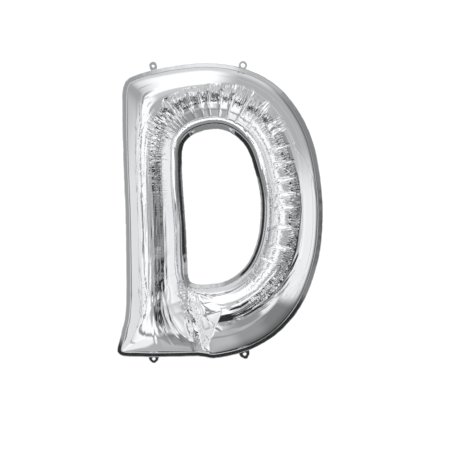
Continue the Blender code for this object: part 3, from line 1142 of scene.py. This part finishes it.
@dataclass(frozen=True)
class MetallisedFilm:
    """Nylon film with vacuum-coated aluminium: a cool bright mirror with a faint calender haze.

    Where the film is gathered, its finest crinkles follow it across the tube. The real ones are
    about a millimetre apart; they are drawn four times as wide, so that they show.
    """

    name: str = "metallised_nylon_film"
    colour: str = "F2F3F5"
    worn_colour: str = "E8EAEC"
    roughness: float = 0.045
    haze: float = 0.09
    line_spacing: float = 4.4 * MM
    line_length: float = 24.0 * MM
    line_depth: float = 0.45 * MM
    pit_spacing: float = 5.0 * MM
    pit_depth: float = 0.9 * MM

    def material(self) -> bpy.types.Material:
        """Build the finish: haze and tone vary in slow patches, and crinkles bend the light."""
        material, tree, shader = fresh_material(self.name)
        where = add_node(tree, "ShaderNodeTexCoord").outputs["Object"]
        patches = add_node(tree, "ShaderNodeTexNoise", Vector=where, Scale=14.0, Detail=3.0)
        tone = add_node(tree, "ShaderNodeMix", {"data_type": "RGBA"}, Factor=patches.outputs["Fac"])
        tone.inputs["A"].default_value = hex_to_linear(self.colour)
        tone.inputs["B"].default_value = hex_to_linear(self.worn_colour)
        rough = add_node(
            tree, "ShaderNodeMapRange", Value=patches.outputs["Fac"], To_Min=self.roughness, To_Max=self.haze
        )
        film = add_node(tree, "ShaderNodeAttribute", {"attribute_name": "film"}).outputs["Vector"]
        crinkled = add_node(tree, "ShaderNodeAttribute", {"attribute_name": "crinkled"}).outputs["Fac"]
        gathered = add_node(
            tree, "ShaderNodeMath", {"operation": "MULTIPLY_ADD"}, i0=crinkled, i1=0.04, i2=rough.outputs["Result"]
        )

        def calculate(operation: str, *values: Any) -> Any:
            """One Math node."""
            inputs = {f"i{k}": value for k, value in enumerate(values)}
            return add_node(tree, "ShaderNodeMath", {"operation": operation}, **inputs).outputs["Value"]

        def cells(feature: str, along: float, across: float) -> tuple[Any, Any]:
            """Distance and chance value of Voronoi cells laid on the gathered film."""
            place = add_node(tree, "ShaderNodeMapping", Vector=film, Scale=(1 / along, 1 / along, 1 / across))
            spot = {"Vector": place.outputs["Vector"], "Scale": 1.0}
            chance = add_node(tree, "ShaderNodeTexVoronoi", {"feature": "F1"}, **spot)
            split = add_node(tree, "ShaderNodeSeparateColor", Color=chance.outputs["Color"])
            distance = add_node(tree, "ShaderNodeTexVoronoi", {"feature": feature}, **spot)
            return distance.outputs["Distance"], split.outputs[0]

        ridge, own = cells("DISTANCE_TO_EDGE", self.line_spacing, self.line_length)
        height = calculate("MULTIPLY", calculate("MULTIPLY", ridge, crinkled), calculate("MULTIPLY_ADD", own, 1.3, 0.5))
        lines = add_node(tree, "ShaderNodeBump", Strength=1.0, Distance=self.line_depth, Height=height)
        centre, own = cells("F1", self.pit_spacing, self.pit_spacing)
        bowl = add_node(
            tree, "ShaderNodeMapRange", {"interpolation_type": "SMOOTHSTEP"}, Value=centre, From_Max=0.27, To_Min=-1.0, To_Max=0.0
        )
        pit = calculate("MULTIPLY", calculate("MULTIPLY", bowl.outputs["Result"], crinkled), calculate("GREATER_THAN", own, 0.5))
        normal = add_node(
            tree, "ShaderNodeBump", Strength=1.0, Distance=self.pit_depth, Height=pit, Normal=lines.outputs["Normal"]
        ).outputs["Normal"]
        tree.links.new(tone.outputs["Result"], shader.inputs["Base Color"])
        tree.links.new(gathered.outputs["Value"], shader.inputs["Roughness"])
        tree.links.new(normal, shader.inputs["Normal"])
        shader.inputs["Metallic"].default_value = 1.0
        return material


@dataclass(frozen=True)
class WeldedFilm:
    """The same film pressed by a hot jaw: a little duller, with the jaw's fine cross-ribs."""

    name: str = "heat_welded_film"
    colour: str = "D6D8DA"
    roughness: float = 0.09
    rib_mm: float = 3.0
    rib_depth: float = 0.018 * MM

    def material(self) -> bpy.types.Material:
        """Build the finish: the jaw's ribs, drawn as coarse as they need to show, as a soft bump."""
        material, tree, shader = fresh_material(self.name)
        where = add_node(tree, "ShaderNodeTexCoord").outputs["Object"]
        ribs = add_node(tree, "ShaderNodeTexNoise", Vector=where, Scale=1000 / self.rib_mm, Detail=2.0)
        bump = add_node(tree, "ShaderNodeBump", Strength=0.5, Distance=self.rib_depth, Height=ribs.outputs["Fac"])
        tree.links.new(bump.outputs["Normal"], shader.inputs["Normal"])
        shader.inputs["Base Color"].default_value = hex_to_linear(self.colour)
        shader.inputs["Roughness"].default_value = self.roughness
        shader.inputs["Metallic"].default_value = 1.0
        return material


@dataclass(frozen=True)
class ValveFilm:
    """Blown polyethylene film, two plies: milky, soft and half clear."""

    name: str = "milky_polyethylene_film"
    colour: str = "E9ECEE"
    roughness: float = 0.32
    wrinkle_mm: float = 4.0

    def material(self) -> bpy.types.Material:
        """Build the finish: a translucent plastic with fine soft wrinkles."""
        material, tree, shader = fresh_material(self.name)
        where = add_node(tree, "ShaderNodeTexCoord").outputs["Object"]
        noise = add_node(tree, "ShaderNodeTexNoise", Vector=where, Scale=1000 / self.wrinkle_mm, Detail=2.0)
        bump = add_node(tree, "ShaderNodeBump", Strength=0.4, Distance=0.2 * MM, Height=noise.outputs["Fac"])
        tree.links.new(bump.outputs["Normal"], shader.inputs["Normal"])
        shader.inputs["Base Color"].default_value = hex_to_linear(self.colour)
        shader.inputs["Roughness"].default_value = self.roughness
        shader.inputs["IOR"].default_value = 1.51
        shader.inputs["Alpha"].default_value = 0.75
        return material


@dataclass(frozen=True)
class TentPanel:
    """A panel of the light tent, far off, seen only as light and in reflections.

    Its place is told as the camera sees it: its bearing, in degrees turned left from the right-hand
    side, and how far it stands off the line from the balloon to the camera, from near to far.
    """

    name: str
    level: float
    near: float = 0.0
    far: float = 200.0
    bearing: float = 0.0
    half_width: float = 400.0
    edge: float = 4.0
    side_edge: float = 8.0


@dataclass
class Studio:
    """Backdrop, light and camera of a product picture on plain white."""

    form: LetterForm
    mm_per_pixel: float = 2.774
    frame_pixels: float = 450.0
    origin_pixel: tuple[float, float] = (220.0, 211.5)
    lens: float = 130.0
    sensor: float = 36.0
    floor_z: float = -1.15
    floor_half: float = 1.6
    tent_level: float = 1.15
    panels: tuple[TentPanel, ...] = (
        TentPanel("tent_wall_left", 0.86, 62, 134, 185, 40, 10, 10),
        TentPanel("tent_wall_right", 0.98, 50, 124, 0, 40, 8, 10),
        TentPanel("overhead_softbox", 1.27, 8, 112, 103, 26, 6, 10),
        TentPanel("overhead_lower_edge", 0.68, 15, 38, 90, 40, 3, 8),
        TentPanel("grey_card_upper_right", 0.50, 30, 200, 46, 34, 8, 8),
        TentPanel("tent_seam_upper_right", 0.75, 50, 53, 46, 36, 1.2, 6),
        TentPanel("tent_seam_high", 0.60, 82, 86, 46, 36, 1.5, 6),
        TentPanel("room_behind_upper_right", 0.22, 142, 200, 46, 40, 12, 8),
        TentPanel("ceiling_behind", 0.76, 114, 200, 95, 45, 14, 12),
        TentPanel("ceiling_far_behind", 0.40, 164, 200, 95, 50, 8, 12),
        TentPanel("frame_left", 0.50, 74, 78, 180, 62, 1.6, 8),
        TentPanel("inner_frame_left", 0.30, 48, 54, 180, 56, 2.0, 8),
        TentPanel("frame_right", 0.72, 43, 46, 0, 36, 1.4, 8),
        TentPanel("outer_frame_right", 0.62, 98, 101, 0, 30, 1.4, 8),
        TentPanel("floor_in_front", 0.50, 38, 130, 266, 18, 6, 4),
        TentPanel("floor_under_left", 1.00, 60, 110, 245, 9, 8, 3),
        TentPanel("floor_to_the_right", 0.56, 22, 200, 284, 10, 5, 4),
        TentPanel("card_lower_right", 0.36, 32, 200, 303, 16, 4, 4),
        TentPanel("card_far_right", 0.25, 36, 200, 317, 11, 4, 5),
        TentPanel("darker_lower_right", 0.10, 110, 200, 306, 26, 35, 10),
        TentPanel("room_behind_left", 0.26, 134, 200, 185, 45, 5, 10),
        TentPanel("room_behind_right", 0.19, 124, 200, 0, 50, 12, 15),
        TentPanel("floor_edge", 0.36, 43, 50, 270, 40, 3, 4),
        TentPanel("room_behind_low", 0.03, 132, 200, 270, 58, 8, 10),
        TentPanel("stand_left", 0.48, 0, 27, 170, 62, 5, 8),
        TentPanel("stand_right_outer", 0.58, 28, 38, 350, 62, 4, 8),
        TentPanel("stand_right", 0.33, 0, 31, 350, 62, 3, 8),
        TentPanel("stand_pole", 0.03, 15, 29, 356, 14, 2, 5),
        TentPanel("gap_lower_right", 1.00, 20, 34, 322, 9, 3, 4),
        TentPanel("lens_hood", 0.03, 0, 7.5, edge=1.5),
    )

    def build(self) -> None:
        """Set up the world, the floor, the camera and plain colour management."""
        self.build_world()
        self.build_near_card()
        self.build_hole_card()
        self.build_floor()
        self.build_camera()
        view = bpy.context.scene.view_settings
        view.view_transform = "Standard"
        view.look = "None"

    @staticmethod
    def panel_mask(tree: bpy.types.NodeTree, off_axis: Any, bearing: Any, panel: TentPanel) -> Any:
        """Nodes that give one inside a panel and zero outside, with soft edges.

        Args:
            tree: The world's nodes.
            off_axis: Angle between the direction and the one to the camera, in degrees.
            bearing: Bearing of the direction round the camera's line, in degrees.
            panel: The panel.

        Returns:
            The mask's output socket.
        """

        def fade(value: Any, end: float, edge: float) -> Any:
            """One below end, falling smoothly to zero round it."""
            node = add_node(
                tree,
                "ShaderNodeMapRange",
                {"interpolation_type": "SMOOTHSTEP"},
                Value=value,
                From_Min=end - edge,
                From_Max=end + edge,
                To_Min=1.0,
                To_Max=0.0,
            )
            return node.outputs["Result"]

        def calculate(operation: str, *values: Any) -> Any:
            """One Math node."""
            inputs = {f"i{k}": value for k, value in enumerate(values)}
            return add_node(tree, "ShaderNodeMath", {"operation": operation}, **inputs).outputs["Value"]

        turned = calculate("WRAP", calculate("SUBTRACT", bearing, panel.bearing), 180.0, -180.0)
        beside = fade(calculate("ABSOLUTE", turned), panel.half_width, panel.side_edge)
        outside = fade(off_axis, panel.far, panel.edge)
        mask = calculate("MULTIPLY", beside, outside)
        if panel.near > 0:
            mask = calculate("MULTIPLY", mask, calculate("SUBTRACT", 1.0, fade(off_axis, panel.near, panel.edge)))
        return mask

    def build_world(self) -> None:
        """Build the light: a white tent with its panels, and plain white for what the camera sees."""
        world = bpy.data.worlds.new("studio")
        bpy.context.scene.world = world
        world.use_nodes = True
        tree = world.node_tree
        tree.nodes.clear()
        direction = add_node(tree, "ShaderNodeTexCoord").outputs["Generated"]
        parts = add_node(tree, "ShaderNodeSeparateXYZ", Vector=direction).outputs
        towards = add_node(tree, "ShaderNodeMath", {"operation": "MULTIPLY"}, i0=parts["Y"], i1=-1.0)
        off_axis = add_node(tree, "ShaderNodeMath", {"operation": "ARCCOSINE"}, i0=towards.outputs["Value"])
        round_axis = add_node(tree, "ShaderNodeMath", {"operation": "ARCTAN2"}, i0=parts["Z"], i1=parts["X"])
        degrees = [
            add_node(tree, "ShaderNodeMath", {"operation": "DEGREES"}, i0=angle.outputs["Value"]).outputs["Value"]
            for angle in (off_axis, round_axis)
        ]
        level: Any = self.tent_level
        for panel in self.panels:
            mask = self.panel_mask(tree, *degrees, panel)
            mixed = add_node(tree, "ShaderNodeMix", {"data_type": "FLOAT", "label": panel.name}, i0=mask, i2=level)
            mixed.inputs[3].default_value = panel.level
            level = mixed.outputs[0]
        room = add_node(tree, "ShaderNodeBackground", Color=level)
        white = add_node(tree, "ShaderNodeBackground", Color=(1.0, 1.0, 1.0, 1.0), Strength=1.05)
        seen = add_node(tree, "ShaderNodeLightPath").outputs["Is Camera Ray"]
        both = add_node(
            tree, "ShaderNodeMixShader", i0=seen, i1=room.outputs["Background"], i2=white.outputs["Background"]
        )
        add_node(tree, "ShaderNodeOutputWorld", Surface=both.outputs["Shader"])

    @staticmethod
    def put_card(name: str, points: Array, level: Array, cover: Array, closed: bool) -> None:
        """Hang a card that only reflections see, with its own brightness and soft edges.

        Args:
            name: Name of the card.
            points: Grid of points, columns by rows.
            level: Brightness at each point.
            cover: One where the card is whole, down to zero where it isn't there.
            closed: Whether the grid closes on itself along its columns.
        """
        columns, rows = points.shape[:2]
        quads = grid_quads(columns, rows, closed_rows=False, flip=False)
        if not closed:
            quads = quads[: (columns - 1) * (rows - 1)]
        card = put_mesh(name, points.reshape(-1, 3), quads)
        for field_name, values in (("level", level), ("cover", cover)):
            layer = card.data.attributes.new(field_name, "FLOAT", "POINT")
            layer.data.foreach_set("value", np.broadcast_to(values, (columns, rows)).astype(np.float32).ravel())
        material = bpy.data.materials.new(name)
        material.use_nodes = True
        tree = material.node_tree
        tree.nodes.clear()
        bright = add_node(tree, "ShaderNodeAttribute", {"attribute_name": "level"}).outputs["Fac"]
        whole = add_node(tree, "ShaderNodeAttribute", {"attribute_name": "cover"}).outputs["Fac"]
        glow = add_node(tree, "ShaderNodeEmission", Color=bright).outputs["Emission"]
        clear = add_node(tree, "ShaderNodeBsdfTransparent").outputs["BSDF"]
        both = add_node(tree, "ShaderNodeMixShader", i0=whole, i1=clear, i2=glow)
        add_node(tree, "ShaderNodeOutputMaterial", Surface=both.outputs["Shader"])
        card.data.materials.append(material)
        card.visible_camera = card.visible_diffuse = card.visible_shadow = False

    def build_near_card(self) -> None:
        """Hang a curved grey card close to the upper left corner.

        It runs from a slanted lower edge up the left and over the corner: a straight line is drawn
        from each point of the lower edge to a shoulder, and on to the upper edge.
        """
        back = np.linspace(-0.6, 0.9, 16)[:, None]
        rise = np.linspace(0, 3, 40)[None]
        lower = 0.14 - 0.25 * (back + 0.28) / 0.95
        corners = [0, 1, 2, 3]
        x = np.interp(rise, corners, [-0.75, -0.75, -0.60, -0.20]) + 0 * back
        knee = np.clip(rise, 0, 1)
        z = lower * (1 - knee) + np.interp(rise, corners, [0.45, 0.45, 0.70, 0.92]) * knee
        points = np.stack([x, back + 0 * rise, z], axis=-1)
        cover = smooth_step(0.0, 1.3, rise) * (1 - smooth_step(1.6, 3.0, rise))
        cover = cover * smooth_step(-0.6, -0.35, back) * (1 - smooth_step(0.6, 0.9, back))
        self.put_card("near_grey_card", points, np.full_like(cover, 0.42), cover, closed=False)

    def build_hole_card(self) -> None:
        """Hang a grey and white card behind the upper half of the counter, seen by its upper wall.

        It is grey next to the counter's edge and white farther in.
        """
        edge = self.form.counter
        share = np.linspace(0.0, 1.0, 12)[None, :, None] * 0.75
        middle = np.array([0.0, 0.02])
        plan = edge[:, None] * (1 - share) + middle * share
        points = np.stack([plan[..., 0], np.full(plan.shape[:2], -0.01), plan[..., 1]], axis=-1)
        inwards = np.linalg.norm(plan - edge[:, None], axis=-1)
        level = 0.33 + 1.0 * smooth_step(0.042, 0.052, inwards)
        cover = smooth_step(0.02, 0.05, plan[..., 1]) * (1 - smooth_step(0.68, 0.75, share[..., 0]))
        self.put_card("hole_card", points, level, cover, closed=True)

    def build_floor(self) -> None:
        """Lay a plain pale floor well below the floating letter, outside the camera's view."""
        half, z = self.floor_half, self.floor_z
        corners = np.array([(-half, -half, z), (half, -half, z), (half, half, z), (-half, half, z)])
        floor = put_mesh("studio_floor", corners, np.array([[0, 1, 2, 3]]))
        material, _, shader = fresh_material("pale_floor_paint")
        shader.inputs["Base Color"].default_value = hex_to_linear("F4F4F2")
        shader.inputs["Roughness"].default_value = 0.6
        floor.data.materials.append(material)
        floor.visible_glossy = False

    def build_camera(self) -> None:
        """Look straight at the letter's face, with the origin on its pixel of the picture."""
        data = bpy.data.cameras.new("camera")
        data.lens, data.sensor_width = self.lens, self.sensor
        camera = bpy.data.objects.new("camera", data)
        bpy.context.scene.collection.objects.link(camera)
        across = self.frame_pixels * self.mm_per_pixel * MM
        centre = self.frame_pixels / 2
        camera.location = (
            (centre - self.origin_pixel[0]) * self.mm_per_pixel * MM,
            -across * self.lens / self.sensor,
            (self.origin_pixel[1] - centre) * self.mm_per_pixel * MM,
        )
        camera.rotation_euler = (math.pi / 2, 0.0, 0.0)
        bpy.context.scene.camera = camera


@dataclass
class FoilBalloon:
    """The whole letter: its pieces in order, and the finish that each one wears."""

    form: LetterForm = field(default_factory=LetterForm)

    def build(self) -> None:
        """Build each piece, dress it and report it."""
        form, radians = self.form, math.radians
        film = MetallisedFilm().material()
        weld = WeldedFilm().material()
        milky = ValveFilm().material()
        makers = (
            (FilmPanel(form, Side.FRONT, "front_film", "front_panel", 7), film),
            (FilmPanel(form, Side.BACK, "back_film", "back_panel", 23), film),
            (WeldedSeam(form, "outer_weld", "outer_seam", True, 5), weld),
            (WeldedSeam(form, "counter_weld", "counter_seam", False, 9), weld),
            (HangingTab(form, "tab_top_left", -183.7, 10.6, 4.0, 12.5, 10.6, 8.0, radians(5.7), radians(14)), weld),
            (HangingTab(form, "tab_top_right", 62.5, 7.9, 6.3, 8.0, 12.0, 10.5, radians(7), radians(16)), weld),
            (HangingTab(form, "tab_bottom_left", -184.2, 4.4, 3.8, 8.0, 9.0, 14.5, radians(-1)), weld),
            (HangingTab(form, "tab_bottom_right", 67.4, 6.2, 3.8, 11.6, 9.0, 15.0, radians(-1)), weld),
            (FillingNeck(), film),
            (ValveTongue(), milky),
        )
        for maker, finish in makers:
            piece = maker.build()
            piece.data.materials.append(finish)
            LOG.info("%s: %d faces", piece.name, len(piece.data.polygons))


def main() -> None:
    logging.basicConfig(level=logging.INFO, format="%(message)s")
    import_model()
    balloon = FoilBalloon()
    balloon.build()
    Studio(balloon.form).build()


if __name__ == "__main__":
    main()
